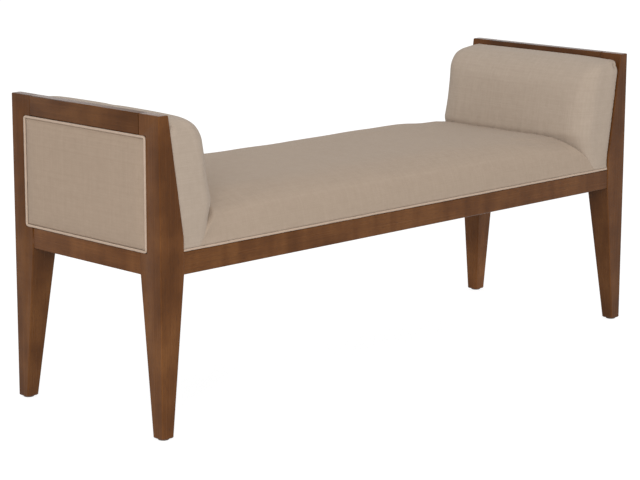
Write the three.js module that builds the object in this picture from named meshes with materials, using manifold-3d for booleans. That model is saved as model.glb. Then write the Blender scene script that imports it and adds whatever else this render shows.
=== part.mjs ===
// Hotel luggage bench: one long upholstered seat between two padded arms, on a frame of
// four wedge-tapered hardwood posts that are joined by mortise-and-tenon rails.
// Millimetres, +Z up. The origin is on the floor under the middle of the bench,
// X runs along the bench and the front faces -Y.

import * as THREE from 'three';
import { mergeVertices, toCreasedNormals } from 'three/addons/utils/BufferGeometryUtils.js';
import Module from 'manifold-3d';

// Overall size
const LENGTH = 1500;
const DEPTH = 475;
const HEIGHT = 662;

// Clearance between pieces that touch
const FIT = 0.3;

// Posts: square beside the rails, tapered to the foot, a wedge from a little above the rails
const POST = 63;
const POST_TOP = 25;
const FOOT = 30;
const WEDGE_RISE = 30;
const EDGE_ROUND = 2.5;
const END_CHAMFER = 1.5;

// Seat rails, set back a little from the faces of the posts
const RAIL_LOW = 335;
const RAIL_HEIGHT = 46;
const RAIL_THICK = 25;
const RAIL_SETBACK = 2;

// Rebate that holds the outer panel of each end, and the wood left showing round it
const PANEL_MARGIN = 41;
const PANEL_TOP_MARGIN = 43;
const REBATE_DEPTH = 14;
const END_RAIL_LAP = 22;
const TOP_RAIL_LAP = 21;

// Tenons
const TENON_LENGTH = 30;
const TENON_THICK = 10;
const TENON_SHOULDER = 6;
const TOP_TENON_THICK = 9;
const TOP_TENON_COVER = 12;

// Cross stretchers and their stub tenons
const STRETCHERS = 2;
const STRETCHER_HEIGHT = 38;
const STRETCHER_THICK = 25;
const STUB_LENGTH = 10;
const STUB_THICK = 10;

// Corner blocks and their screws
const BLOCK_LEG = 70;
const BLOCK_TIP = 12;
const BLOCK_HEIGHT = 36;
const SCREW_LENGTH = 38;
const SCREW_DIA = 5;
const SCREW_HEAD_DIA = 9;
const SCREW_HEAD_HEIGHT = 3.2;
const SCREW_HEAD_FLAT = 6.3;
const SCREW_HEAD_EDGE = 1.3;
const SCREW_POINT = 6;
const SCREW_BITE = 16;
const SEAT_SCREW_BITE = 10;
const SCREW_END_DISTANCE = 22;

// Foot glides with their nails
const GLIDE_DIA = 24;
const GLIDE_HEIGHT = 3;
const GLIDE_EDGE = 1;
const NAIL_DIA = 3;
const NAIL_LENGTH = 15;

// Cloth: cover with its wadding, welt cord, and how far the covers sit behind the posts
const COVER = 2;
const WELT = 5.6;
const PAD_SETBACK = 5;

// Seat: plywood deck and a cushion with a soft front edge and a tighter rear edge. It runs a
// little way under the arm pads and dips there. A higher power makes its section squarer.
const DECK_THICK = 15;
const SEAT_RISE = 95;
const SEAT_TUCK = 48;
const SEAT_END_DIP = 10;
const SEAT_END_POWER = 8;
const SEAT_FRONT_POWER = 2.8;
const SEAT_REAR_POWER = 20;
const SEAT_CROWN_POWER = 4;

// Arms: plywood board on the posts' slope and a thick pad with a rolled inner edge
const ARM_BOARD = 12;
const ARM_THICK = 103;
const ARM_DROP = 10;
const ARM_NOSE = 55;
const ARM_CORNER = 40;
const ARM_BROW = 20;
const ARM_BULGE = 6;
const ARM_TUCK = 23;
const ARM_TUCK_RISE = 65;

// Outer panels
const PANEL_BOARD = 6;
const PANEL_PROUD = 3;
const PANEL_CORNER = 9;
const PANEL_SLOPE = 60;
const PANEL_CROWN_POWER = 4;

// Dust cover under the rails
const DUST_THICK = 1;
const DUST_INSET = 8;

// Facets of round and soft forms
const ROUND_SIDES = 12;
const EDGE_STEPS = 2;
const CORNER_STEPS = 5;
const NOSE_STEPS = 6;
const FACE_STEPS = 6;
const DOME_STEPS = 24;
const SEAT_STATIONS = 9;
const PANEL_RINGS = 5;
const PANEL_CORNER_STEPS = 3;
const WELD = 1e-4;
const CREASE = Math.PI / 5;

// Heights and places that follow from the sizes
const RAIL_TOP = RAIL_LOW + RAIL_HEIGHT;
const WEDGE_LOW = RAIL_TOP + WEDGE_RISE;
const SEAT_TOP = RAIL_TOP + SEAT_RISE;
const ARM_TUCK_TOP = RAIL_TOP + ARM_TUCK_RISE;
const RAIL_INNER = RAIL_SETBACK + RAIL_THICK;
const TENON_FACE = RAIL_SETBACK + (RAIL_THICK - TENON_THICK) / 2;
const PANEL_TOP = HEIGHT - PANEL_TOP_MARGIN;
const TOP_RAIL_LOW = PANEL_TOP - TOP_RAIL_LAP;
const END_RAIL_TOP = RAIL_TOP + END_RAIL_LAP;
const BETWEEN_POSTS = LENGTH - 2 * POST;
const BETWEEN_END_POSTS = DEPTH - 2 * POST;
const BLOCK_LOW = RAIL_TOP - BLOCK_HEIGHT;
const WELT_SIDE = RAIL_SETBACK + FIT;
const COVER_LOW = RAIL_TOP + WELT + 2 * FIT;
const DECK_LOW = RAIL_TOP + FIT;
const DECK_TOP = DECK_LOW + DECK_THICK;
const DECK_EDGE = Math.max(WELT_SIDE + WELT, PAD_SETBACK + COVER) + FIT;
const ARM_TOP = HEIGHT - ARM_DROP;
const ARM_SLOPE = (POST - POST_TOP) / (HEIGHT - WEDGE_LOW);
const ARM_BOARD_WIDE = ARM_BOARD * Math.hypot(1, ARM_SLOPE);
const SEAT_REACH = LENGTH / 2 - POST - ARM_THICK + SEAT_TUCK;
const PANEL_BACK = REBATE_DEPTH - FIT;
const PANEL_BOARD_FACE = PANEL_BACK - PANEL_BOARD;

// Screws of a corner block, in corner coordinates: X inward from the end of the bench and Y
// inward from its front. The heads lie in the block and the points in the wood beyond it.
const BLOCK_SLANT = POST + BLOCK_LEG + RAIL_INNER + FIT + BLOCK_TIP;
const SCREW_ALONG = POST + BLOCK_LEG - SCREW_END_DISTANCE;
const SCREW_HEAD_PLACE = RAIL_INNER + SCREW_LENGTH - SCREW_BITE;
const SEAT_SCREW_PLACE = (POST + FIT + BLOCK_SLANT / 2) / 2;
const SEAT_SCREW_HEAD = DECK_LOW + SEAT_SCREW_BITE - SCREW_LENGTH;
const RAIL_SCREW_HEIGHT = RAIL_TOP - BLOCK_HEIGHT / 2;

const wood = new THREE.MeshStandardMaterial({ color: 0x6f4730, roughness: 0.42, metalness: 0 });
const plainWood = new THREE.MeshStandardMaterial({ color: 0xb08a5e, roughness: 0.7, metalness: 0 });
const plywood = new THREE.MeshStandardMaterial({ color: 0xc2a274, roughness: 0.75, metalness: 0 });
const linen = new THREE.MeshStandardMaterial({ color: 0xab9a88, roughness: 0.9, metalness: 0 });
const foam = new THREE.MeshStandardMaterial({ color: 0xe3d9b8, roughness: 0.95, metalness: 0 });
const cambric = new THREE.MeshStandardMaterial({ color: 0x242322, roughness: 0.95, metalness: 0 });
const zinc = new THREE.MeshStandardMaterial({ color: 0xb9b7ac, roughness: 0.35, metalness: 1 });
const nylon = new THREE.MeshStandardMaterial({ color: 0x3a2f28, roughness: 0.5, metalness: 0 });

const wasm = await Module();
wasm.setup();

function solidOf(geometry) {
  const bare = geometry.clone();
  bare.deleteAttribute('normal');
  bare.deleteAttribute('uv');
  const merged = mergeVertices(bare, WELD);
  return new wasm.Manifold(new wasm.Mesh({
    numProp: 3,
    vertProperties: new Float32Array(merged.attributes.position.array),
    triVerts: new Uint32Array(merged.index.array),
  }));
}

function geometryOf(solid) {
  const mesh = solid.getMesh();
  const geometry = new THREE.BufferGeometry();
  geometry.setAttribute('position', new THREE.BufferAttribute(mesh.vertProperties, 3));
  geometry.setIndex(new THREE.BufferAttribute(mesh.triVerts, 1));
  return geometry;
}

function cut(geometry, tools) {
  const rest = tools.reduce((body, tool) => body.subtract(solidOf(tool)), solidOf(geometry));
  return geometryOf(rest);
}

function join(geometry, extras) {
  const whole = extras.reduce((body, extra) => body.add(solidOf(extra)), solidOf(geometry));
  return geometryOf(whole);
}

// A rectangular block between two corners
function block(low, high) {
  const size = high.map((value, axis) => value - low[axis]);
  const centre = high.map((value, axis) => (value + low[axis]) / 2);
  return new THREE.BoxGeometry(...size).translate(...centre);
}

// Mirror image of a piece across the bench's lengthwise middle plane
function mirrorY(geometry) {
  const copy = geometry.index ? geometry.toNonIndexed() : geometry.clone();
  copy.scale(1, -1, 1);
  const points = copy.attributes.position;
  const spare = new THREE.Vector3();
  const other = new THREE.Vector3();
  for (let first = 0; first < points.count; first += 3) {
    spare.fromBufferAttribute(points, first + 1);
    other.fromBufferAttribute(points, first + 2);
    points.setXYZ(first + 1, ...other);
    points.setXYZ(first + 2, ...spare);
  }
  copy.deleteAttribute('normal');
  return copy;
}

// A closed skin through rings of points, each ring running the same way round
function loft(rings) {
  const count = rings[0].length;
  const points = rings.flat();
  const faces = [];
  for (let level = 0; level + 1 < rings.length; level += 1) {
    for (let step = 0; step < count; step += 1) {
      const here = level * count + step;
      const next = level * count + ((step + 1) % count);
      faces.push(here, next, next + count, here, next + count, here + count);
    }
  }
  const lastRing = (rings.length - 1) * count;
  const lowCentre = points.push(middleOf(rings[0])) - 1;
  const highCentre = points.push(middleOf(rings[rings.length - 1])) - 1;
  for (let step = 0; step < count; step += 1) {
    const next = (step + 1) % count;
    faces.push(lowCentre, next, step, highCentre, lastRing + step, lastRing + next);
  }
  const geometry = new THREE.BufferGeometry().setFromPoints(points);
  geometry.setIndex(faces);
  return geometry;
}

function middleOf(ring) {
  const sum = ring.reduce((total, point) => total.add(point), new THREE.Vector3());
  return sum.divideScalar(ring.length);
}

// Corner points of a rounded rectangle, counter-clockwise from its lower left corner
function roundedOutline(left, right, low, high, radius, steps) {
  const corners = [
    [left + radius, low + radius, Math.PI],
    [right - radius, low + radius, Math.PI * 1.5],
    [right - radius, high - radius, 0],
    [left + radius, high - radius, Math.PI * 0.5],
  ];
  return corners.flatMap(([across, up, start]) => {
    const arc = [];
    for (let step = 0; step <= steps; step += 1) {
      const angle = start + (step / steps) * Math.PI * 0.5;
      arc.push(new THREE.Vector2(across + radius * Math.cos(angle), up + radius * Math.sin(angle)));
    }
    return arc;
  });
}

// A bar of a given section along X: the section's first coordinate is Y, its second is Z
function barAlongX(outline, start, end) {
  const ringAt = (x) => outline.map((point) => new THREE.Vector3(x, point.x, point.y));
  return loft([ringAt(start), ringAt(end)]);
}

// A bar of a given section along Y: the section's first coordinate is X, its second is Z
function barAlongY(outline, start, end) {
  const ringAt = (y) => outline.map((point) => new THREE.Vector3(point.x, y, point.y));
  return loft([ringAt(end), ringAt(start)]);
}

const bench = new THREE.Group();

function addPart(parent, name, geometry, material) {
  const mesh = new THREE.Mesh(toCreasedNormals(geometry, CREASE), material);
  mesh.name = name;
  parent.add(mesh);
  return mesh;
}

// Inner face of a post at a height, measured from the outer face of the bench's end
function postInner(z) {
  if (z <= RAIL_LOW) {
    return FOOT + (POST - FOOT) * (z - GLIDE_HEIGHT) / (RAIL_LOW - GLIDE_HEIGHT);
  }
  const above = Math.max(0, z - WEDGE_LOW);
  return POST - (POST - POST_TOP) * above / (HEIGHT - WEDGE_LOW);
}

// Depth of a post at a height, measured from its front or rear face
function postDepth(z) {
  return Math.min(POST, FOOT + (POST - FOOT) * (z - GLIDE_HEIGHT) / (RAIL_LOW - GLIDE_HEIGHT));
}

// A turned form along +Z from a profile of radii and heights
function turned(profile) {
  const points = profile.map(([radius, height]) => new THREE.Vector2(radius, height));
  return new THREE.LatheGeometry(points, ROUND_SIDES).rotateX(Math.PI / 2);
}

// Pan-head screw: its head ends at zero and its shank runs up from there
function screw() {
  const shank = SCREW_DIA / 2;
  const head = SCREW_HEAD_DIA / 2;
  return turned([
    [0, -SCREW_HEAD_HEIGHT],
    [SCREW_HEAD_FLAT / 2, -SCREW_HEAD_HEIGHT],
    [head, -SCREW_HEAD_EDGE],
    [head, 0],
    [shank, 0],
    [shank, SCREW_LENGTH - SCREW_POINT],
    [0, SCREW_LENGTH],
  ]);
}

// Hole for a screw, with room for its head below zero
function screwHole(headRoom) {
  const shank = SCREW_DIA / 2 + FIT;
  const head = SCREW_HEAD_DIA / 2 + FIT;
  return turned([
    [0, -headRoom],
    [head, -headRoom],
    [head, FIT],
    [shank, FIT],
    [shank, SCREW_LENGTH + FIT],
    [0, SCREW_LENGTH + FIT],
  ]);
}

// A screw or its hole, brought to one of the three places in a corner block
function railScrew(form) {
  form.rotateX(Math.PI / 2);
  return form.translate(SCREW_ALONG, SCREW_HEAD_PLACE, RAIL_SCREW_HEIGHT);
}

function endScrew(form) {
  form.rotateY(-Math.PI / 2);
  return form.translate(SCREW_HEAD_PLACE, SCREW_ALONG, RAIL_SCREW_HEIGHT);
}

function seatScrew(form) {
  return form.translate(SEAT_SCREW_PLACE, SEAT_SCREW_PLACE, SEAT_SCREW_HEAD);
}

// Post in corner coordinates: lofted square sections, mortised and rebated
function post() {
  const levels = [
    [GLIDE_HEIGHT, END_CHAMFER],
    [GLIDE_HEIGHT + END_CHAMFER, 0],
    [RAIL_LOW, 0],
    [WEDGE_LOW, 0],
    [HEIGHT - END_CHAMFER, 0],
    [HEIGHT, END_CHAMFER],
  ];
  const rings = levels.map(([z, inset]) => {
    const right = postInner(z) - inset;
    const back = postDepth(z) - inset;
    const outline = roundedOutline(inset, right, inset, back, EDGE_ROUND, EDGE_STEPS);
    return outline.map((point) => new THREE.Vector3(point.x, point.y, z));
  });
  const mortiseLow = RAIL_LOW + TENON_SHOULDER - FIT;
  const mortiseHigh = RAIL_TOP - TENON_SHOULDER + FIT;
  const tenonBack = TENON_FACE + TENON_THICK + FIT;
  const depth = POST - TENON_LENGTH - FIT;
  const topFace = (POST_TOP - TOP_TENON_THICK) / 2;
  const tenonFront = TENON_FACE - FIT;
  const seatRailMortise = block([depth, tenonFront, mortiseLow], [POST + FIT, tenonBack, mortiseHigh]);
  const endRailMortise = block([tenonFront, depth, mortiseLow], [tenonBack, POST + FIT, mortiseHigh]);
  const topRailMortise = block(
    [topFace - FIT, depth, PANEL_TOP + TENON_SHOULDER - FIT],
    [topFace + TOP_TENON_THICK + FIT, POST + FIT, HEIGHT - TOP_TENON_COVER + FIT],
  );
  const rebate = block([-FIT, PANEL_MARGIN, RAIL_TOP], [REBATE_DEPTH, POST + FIT, PANEL_TOP]);
  const nailHole = turned([
    [0, -FIT],
    [NAIL_DIA / 2 + FIT, -FIT],
    [NAIL_DIA / 2 + FIT, NAIL_LENGTH + FIT],
    [0, NAIL_LENGTH + FIT],
  ]).translate(FOOT / 2, FOOT / 2, GLIDE_HEIGHT);
  return cut(loft(rings), [seatRailMortise, endRailMortise, topRailMortise, rebate, nailHole]);
}

// Nail-on glide under the middle of the foot
function glide() {
  const radius = GLIDE_DIA / 2;
  const top = GLIDE_HEIGHT - FIT;
  return turned([
    [0, 0],
    [radius - GLIDE_EDGE, 0],
    [radius, GLIDE_EDGE],
    [radius, top],
    [NAIL_DIA / 2, top],
    [NAIL_DIA / 2, top + NAIL_LENGTH - NAIL_DIA],
    [0, top + NAIL_LENGTH],
  ]).translate(FOOT / 2, FOOT / 2, 0);
}

// Corner block in corner coordinates: it closes the corner behind the post
function cornerBlock() {
  const near = RAIL_INNER + FIT;
  const beside = POST + FIT;
  const far = POST + BLOCK_LEG;
  const outline = [
    [beside, near],
    [far, near],
    [far, near + BLOCK_TIP],
    [near + BLOCK_TIP, far],
    [near, far],
    [near, beside],
    [beside, beside],
  ].map(([x, y]) => new THREE.Vector2(x, y));
  const shape = new THREE.Shape(outline);
  const body = new THREE.ExtrudeGeometry(shape, { depth: BLOCK_HEIGHT, bevelEnabled: false });
  const headRoom = BLOCK_LEG + BLOCK_TIP;
  return cut(body.translate(0, 0, BLOCK_LOW), [
    railScrew(screwHole(headRoom)),
    endScrew(screwHole(headRoom)),
    seatScrew(screwHole(headRoom)),
  ]);
}

// End rail in end coordinates: X inward from the end face, Y centred on the bench
function endRail() {
  const half = BETWEEN_END_POSTS / 2 - FIT;
  const lower = roundedOutline(RAIL_SETBACK, RAIL_INNER, RAIL_LOW, RAIL_TOP, EDGE_ROUND, EDGE_STEPS);
  const lip = block([REBATE_DEPTH + FIT, -half, RAIL_TOP - 2 * EDGE_ROUND], [RAIL_INNER, half, END_RAIL_TOP]);
  const reach = BETWEEN_END_POSTS / 2 + TENON_LENGTH;
  const tenon = block(
    [TENON_FACE, -reach, RAIL_LOW + TENON_SHOULDER],
    [TENON_FACE + TENON_THICK, reach, RAIL_TOP - TENON_SHOULDER],
  );
  const holes = cornerPairs(endScrew(screwHole(FIT)));
  return cut(join(barAlongY(lower, -half, half), [lip, tenon]), holes);
}

// Both copies of a tool that works at the front and rear corners of an end
function cornerPairs(tool) {
  const front = tool.clone().translate(0, -DEPTH / 2, 0);
  return [front, mirrorY(front)];
}

// Top rail in end coordinates: its inner face continues the slope of the posts
function topRail() {
  const half = BETWEEN_END_POSTS / 2 - FIT;
  const back = REBATE_DEPTH + FIT;
  const outline = [
    [back, TOP_RAIL_LOW],
    [postInner(TOP_RAIL_LOW), TOP_RAIL_LOW],
    [postInner(HEIGHT - END_CHAMFER), HEIGHT - END_CHAMFER],
    [POST_TOP - END_CHAMFER, HEIGHT],
    [END_CHAMFER, HEIGHT],
    [0, HEIGHT - END_CHAMFER],
    [0, PANEL_TOP + END_CHAMFER],
    [END_CHAMFER, PANEL_TOP],
    [back, PANEL_TOP],
  ].map(([x, z]) => new THREE.Vector2(x, z));
  const shape = new THREE.Shape(outline);
  const bar = new THREE.ExtrudeGeometry(shape, { depth: 2 * half, bevelEnabled: false });
  bar.rotateX(Math.PI / 2).translate(0, half, 0);
  const face = (POST_TOP - TOP_TENON_THICK) / 2;
  const reach = BETWEEN_END_POSTS / 2 + TENON_LENGTH;
  const tenon = block(
    [face, -reach, PANEL_TOP + TENON_SHOULDER],
    [face + TOP_TENON_THICK, reach, HEIGHT - TOP_TENON_COVER],
  );
  return join(bar, [tenon]);
}

// Front rail along X with a tenon at each end, housings for the stretchers and screw holes
function seatRail() {
  const half = BETWEEN_POSTS / 2 - FIT;
  const front = -DEPTH / 2 + RAIL_SETBACK;
  const outline = roundedOutline(front, front + RAIL_THICK, RAIL_LOW, RAIL_TOP, EDGE_ROUND, EDGE_STEPS);
  const reach = BETWEEN_POSTS / 2 + TENON_LENGTH;
  const tenonFront = -DEPTH / 2 + TENON_FACE;
  const tenon = block(
    [-reach, tenonFront, RAIL_LOW + TENON_SHOULDER],
    [reach, tenonFront + TENON_THICK, RAIL_TOP - TENON_SHOULDER],
  );
  const inner = front + RAIL_THICK;
  const wide = STUB_THICK / 2 + FIT;
  const housings = stretcherPlaces().map((x) => block(
    [x - wide, inner - STUB_LENGTH - FIT, RAIL_TOP - STRETCHER_HEIGHT + TENON_SHOULDER - FIT],
    [x + wide, inner + FIT, RAIL_TOP - TENON_SHOULDER + FIT],
  ));
  const leftHole = railScrew(screwHole(FIT)).translate(-LENGTH / 2, -DEPTH / 2, 0);
  const rightHole = leftHole.clone().translate(LENGTH - 2 * SCREW_ALONG, 0, 0);
  return cut(join(barAlongX(outline, -half, half), [tenon]), [...housings, leftHole, rightHole]);
}

function stretcherPlaces() {
  const gap = BETWEEN_POSTS / (STRETCHERS + 1);
  return Array.from({ length: STRETCHERS }, (_, index) => (index + 1) * gap - BETWEEN_POSTS / 2);
}

// Cross stretcher along Y, stub-tenoned into both seat rails
function stretcher() {
  const half = DEPTH / 2 - RAIL_INNER - FIT;
  const low = RAIL_TOP - STRETCHER_HEIGHT;
  const wide = STRETCHER_THICK / 2;
  const body = block([-wide, -half, low], [wide, half, RAIL_TOP]);
  const reach = DEPTH / 2 - RAIL_INNER + STUB_LENGTH;
  const stub = block(
    [-STUB_THICK / 2, -reach, low + TENON_SHOULDER],
    [STUB_THICK / 2, reach, RAIL_TOP - TENON_SHOULDER],
  );
  return join(body, [stub]);
}

// Arm pad in end coordinates. It lies on the posts' slope, is drawn in where it meets the
// seat, swells between its front and rear corners and rolls over at the top.
// gap is its distance from the posts, skin how far it lies inside the finished cover.
function armForm(gap, skin, low) {
  const top = ARM_TOP - skin;
  const nose = ARM_NOSE - skin;
  const levels = [low, (low + ARM_TUCK_TOP) / 2, ARM_TUCK_TOP, (ARM_TUCK_TOP + top - nose) / 2];
  if (low < WEDGE_LOW) {
    levels.push(WEDGE_LOW);
  }
  for (let step = 0; step <= NOSE_STEPS; step += 1) {
    levels.push(top - nose + nose * Math.sin((step / NOSE_STEPS) * Math.PI * 0.5));
  }
  levels.sort((lower, upper) => lower - upper);
  return loft(levels.map((z) => armRing(z, gap, skin)));
}

// How far an upper edge of a given radius has rolled in at a height below the top
function rolledIn(radius, below) {
  const up = Math.max(0, radius - below);
  return radius - Math.sqrt(radius ** 2 - up ** 2);
}

function armRing(z, gap, skin) {
  const below = Math.max(0, ARM_TOP - skin - z);
  const drawn = Math.max(0, ARM_TUCK_TOP - z) / (ARM_TUCK_TOP - COVER_LOW);
  const wall = postInner(z) + gap;
  const face = postInner(z) + ARM_THICK - skin - ARM_TUCK * drawn - rolledIn(ARM_NOSE - skin, below);
  const half = DEPTH / 2 - PAD_SETBACK - skin - rolledIn(ARM_BROW - skin, below);
  const radius = Math.min(ARM_CORNER - skin, face - postInner(z) - FIT);
  const swell = (y) => ARM_BULGE * (1 - (y / half) ** 2);
  const ring = [new THREE.Vector3(wall, half, z), new THREE.Vector3(wall, -half, z)];
  for (let step = 0; step <= CORNER_STEPS; step += 1) {
    const angle = (step / CORNER_STEPS - 1) * Math.PI * 0.5;
    const y = -half + radius + radius * Math.sin(angle);
    ring.push(new THREE.Vector3(face - radius + radius * Math.cos(angle) + swell(y), y, z));
  }
  for (let step = 1; step < FACE_STEPS; step += 1) {
    const y = (2 * step / FACE_STEPS - 1) * (half - radius);
    ring.push(new THREE.Vector3(face + swell(y), y, z));
  }
  for (let step = 0; step <= CORNER_STEPS; step += 1) {
    const angle = (step / CORNER_STEPS) * Math.PI * 0.5;
    const y = half - radius + radius * Math.sin(angle);
    ring.push(new THREE.Vector3(face - radius + radius * Math.cos(angle) + swell(y), y, z));
  }
  return ring;
}

// Space of the seat deck with its clearance, which the covers keep clear of
function deckSpace() {
  const edge = DEPTH / 2 - DECK_EDGE + FIT;
  return block([-LENGTH / 2, -edge, DECK_LOW - FIT], [LENGTH / 2, edge, DECK_TOP + FIT]);
}

// Arm cover: a sewn shell, open towards the posts and below
function armCover() {
  const inside = armForm(-POST, COVER, COVER_LOW - COVER);
  return cut(armForm(FIT, 0, COVER_LOW), [inside, deckSpace()]);
}

// Arm foam: fills the cover in front of the board
function armFoam() {
  const pad = armForm(-POST, COVER + FIT, DECK_TOP + FIT);
  return cut(pad, [boardSpace(2 * POST, ARM_BOARD_WIDE + FIT, POST)]);
}

// Slab along Y on the slope of the posts' inner faces, from some way behind the slope to
// some way in front of it, and grown all round by a clearance
function boardSpace(behind, inFront, grown) {
  const slope = (z) => POST - (z - WEDGE_LOW) * ARM_SLOPE + FIT;
  const low = DECK_TOP + FIT - grown;
  const high = ARM_TOP - COVER - 2 * FIT + grown;
  const outline = [
    [slope(low) - behind, low],
    [slope(low) + inFront, low],
    [slope(high) + inFront, high],
    [slope(high) - behind, high],
  ].map(([x, z]) => new THREE.Vector2(x, z));
  const half = DEPTH / 2 - PAD_SETBACK - COVER - 2 * FIT + grown;
  return barAlongY(outline, -half, half);
}

// Plywood board that lies flat on the sloping inner faces of both posts, and inside the cover
function armBoard() {
  const board = solidOf(boardSpace(0, ARM_BOARD_WIDE, 0));
  return geometryOf(board.intersect(solidOf(armForm(-POST, COVER + FIT, DECK_TOP))));
}

// Seat cushion along X: one section that dips towards the ends
function seatForm(skin, low) {
  const half = DEPTH / 2 - PAD_SETBACK - skin;
  const reach = SEAT_REACH - skin;
  const rings = [];
  for (let station = 0; station < SEAT_STATIONS; station += 1) {
    const along = Math.sin((station / (SEAT_STATIONS - 1) - 0.5) * Math.PI);
    const dip = SEAT_END_DIP * Math.abs(along) ** SEAT_END_POWER;
    const rise = SEAT_TOP - skin - dip - low;
    const ring = [];
    for (let step = 0; step <= DOME_STEPS; step += 1) {
      const angle = (step / DOME_STEPS) * Math.PI;
      const rearward = Math.cos(angle);
      const power = rearward > 0 ? SEAT_REAR_POWER : SEAT_FRONT_POWER;
      const across = Math.sign(rearward) * Math.abs(rearward) ** (2 / power);
      const up = Math.sin(angle) ** (2 / SEAT_CROWN_POWER);
      ring.push(new THREE.Vector3(along * reach, half * across, low + rise * up));
    }
    rings.push(ring);
  }
  return loft(rings);
}

// Spaces of both arm pads, grown by a clearance
function armSpaces(clearance) {
  const left = armForm(-POST, -clearance, COVER_LOW - POST).translate(-LENGTH / 2, 0, 0);
  return [left, left.clone().rotateZ(Math.PI)];
}

// Seat cover: a sewn shell, open below
function seatCover() {
  const outside = cut(seatForm(0, COVER_LOW), [...armSpaces(FIT), deckSpace()]);
  const inside = cut(seatForm(COVER, COVER_LOW - COVER), armSpaces(FIT + COVER));
  return cut(outside, [inside]);
}

function seatFoam() {
  const skin = COVER + FIT;
  const under = block([-LENGTH, -DEPTH, 0], [LENGTH, DEPTH, DECK_TOP + FIT]);
  return cut(seatForm(skin, COVER_LOW - COVER), [...armSpaces(FIT + skin), under]);
}

function seatDeck() {
  const half = BETWEEN_POSTS / 2 - FIT;
  const edge = DEPTH / 2 - DECK_EDGE;
  const board = block([-half, -edge, DECK_LOW], [half, edge, DECK_TOP]);
  const hole = seatScrew(screwHole(FIT)).translate(-LENGTH / 2, -DEPTH / 2, 0);
  const left = [hole, mirrorY(hole)];
  return cut(board, [...left, ...left.map((tool) => tool.clone().rotateZ(Math.PI))]);
}

// Outline of the outer panel at an inset from the rebate, as points on the end face
function panelOutline(inset, x) {
  const half = DEPTH / 2 - PANEL_MARGIN - inset;
  const low = RAIL_TOP + inset;
  const high = PANEL_TOP - inset;
  const outline = roundedOutline(-half, half, low, high, PANEL_CORNER, PANEL_CORNER_STEPS);
  return outline.map((point) => new THREE.Vector3(x, point.x, point.y));
}

// Padded panel in end coordinates: a shallow crown in front of a straight rim
function panelForm(skin, back) {
  const rim = WELT + 2 * FIT + skin;
  const rings = [];
  for (let ring = 0; ring <= PANEL_RINGS; ring += 1) {
    const outward = ring / PANEL_RINGS;
    const inset = rim + PANEL_SLOPE * (1 - outward) ** 2;
    rings.push(panelOutline(inset, skin - PANEL_PROUD * (1 - outward ** PANEL_CROWN_POWER)));
  }
  rings.push(panelOutline(rim, back));
  return loft(rings);
}

function panelCover() {
  const inside = panelForm(COVER, REBATE_DEPTH + FIT);
  return cut(panelForm(0, PANEL_BACK), [inside]);
}

function panelFoam() {
  return panelForm(COVER + FIT, PANEL_BOARD_FACE - FIT);
}

function panelBoard() {
  const inset = WELT + 3 * FIT + COVER;
  return loft([panelOutline(inset, PANEL_BOARD_FACE), panelOutline(inset, PANEL_BACK)]);
}

// Welt round the panel: a closed cord that follows the rebate
function panelWelt() {
  const line = panelOutline(WELT / 2 + FIT, 0);
  const count = line.length;
  const points = [];
  const faces = [];
  line.forEach((here, index) => {
    const before = line[(index + count - 1) % count];
    const after = line[(index + 1) % count];
    const along = after.clone().sub(before).normalize();
    const outward = new THREE.Vector3(0, along.z, -along.y);
    for (let side = 0; side < ROUND_SIDES; side += 1) {
      const angle = (side / ROUND_SIDES) * Math.PI * 2;
      const point = here.clone().addScaledVector(outward, (WELT / 2) * Math.cos(angle));
      points.push(point.setX(here.x + (WELT / 2) * Math.sin(angle)));
      const nextSide = (side + 1) % ROUND_SIDES;
      const nextRing = ((index + 1) % count) * ROUND_SIDES;
      const ring = index * ROUND_SIDES;
      faces.push(ring + side, nextRing + side, nextRing + nextSide);
      faces.push(ring + side, nextRing + nextSide, ring + nextSide);
    }
  });
  const geometry = new THREE.BufferGeometry().setFromPoints(points);
  geometry.setIndex(faces);
  return geometry;
}

// Welt along a seat rail's top edge, from post to post
function seatWelt() {
  const length = BETWEEN_POSTS - 2 * FIT;
  const cord = new THREE.CylinderGeometry(WELT / 2, WELT / 2, length, ROUND_SIDES).rotateZ(Math.PI / 2);
  return cord.translate(0, -DEPTH / 2 + WELT_SIDE + WELT / 2, RAIL_TOP + FIT + WELT / 2);
}

// Dust cover stapled under the rails, notched round the posts
function dustCover() {
  const endX = LENGTH / 2 - RAIL_SETBACK - DUST_INSET;
  const endY = DEPTH / 2 - RAIL_SETBACK - DUST_INSET;
  const postX = LENGTH / 2 - POST - DUST_INSET;
  const postY = DEPTH / 2 - POST - DUST_INSET;
  const outline = [
    [-postX, -endY], [postX, -endY], [postX, -postY], [endX, -postY], [endX, postY], [postX, postY],
    [postX, endY], [-postX, endY], [-postX, postY], [-endX, postY], [-endX, -postY], [-postX, -postY],
  ].map(([x, y]) => new THREE.Vector2(x, y));
  const shape = new THREE.Shape(outline);
  const sheet = new THREE.ExtrudeGeometry(shape, { depth: DUST_THICK, bevelEnabled: false });
  return sheet.translate(0, 0, RAIL_LOW - FIT - DUST_THICK);
}

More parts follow.
